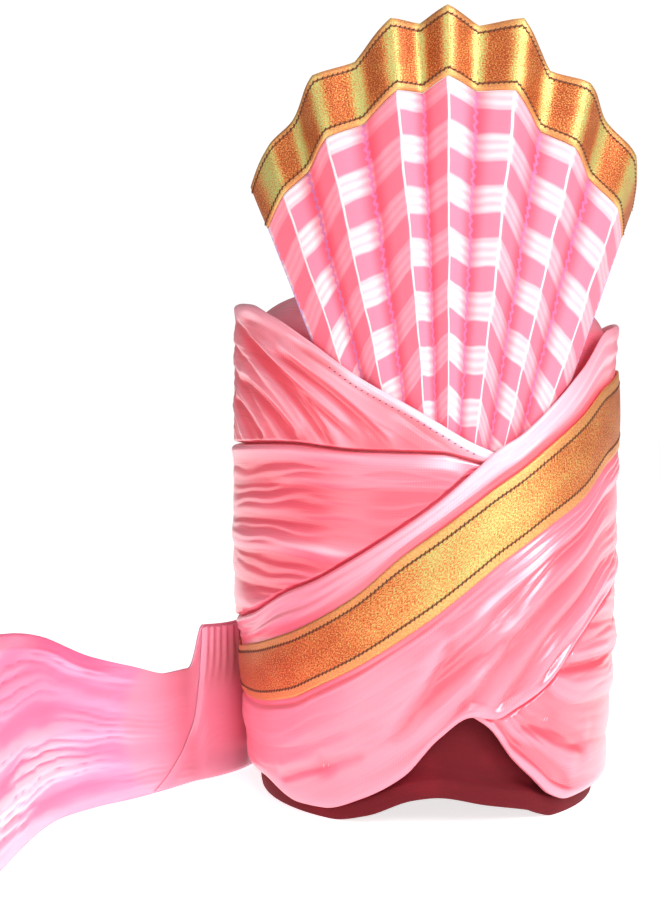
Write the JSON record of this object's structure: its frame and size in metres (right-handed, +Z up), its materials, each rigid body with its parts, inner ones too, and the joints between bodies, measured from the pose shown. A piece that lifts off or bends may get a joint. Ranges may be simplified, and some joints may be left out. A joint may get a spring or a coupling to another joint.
{
  "type": "tied turban",
  "caption": "Pre-tied pink turban on a maroon cap: crossed wraps with a gold woven band, a pleated check fan with a gold border in the front V, and a free cloth tail at the left.",
  "frame": {"origin": "centre of the head opening, on the plane of the rim that stands on the floor", "axes": "+Z up through the crown, -Y is the front with the fan, +X the viewer's right when seen from the front"},
  "size_m": [0.3223, 0.3144, 0.402],
  "materials": {
    "pink_cloth": "satin-like woven cloth with soft folds",
    "tail_cloth": "thin satin-like woven cloth",
    "check_cloth": "pink and white woven check, pleated",
    "gold_border": "metallic gold thread weave",
    "maroon_lining": "matt lining cloth"
  },
  "bodies": {
    "root": {"lining_cap": "maroon_lining", "crown": "pink_cloth", "upper_wrap": "pink_cloth", "middle_wrap": "pink_cloth", "lower_wrap": "pink_cloth", "cross_wrap": "pink_cloth", "gold_band": "gold_border", "fan_cloth": "check_cloth", "fan_border": "gold_border", "tail": "tail_cloth"}
  },
  "joints": []
}
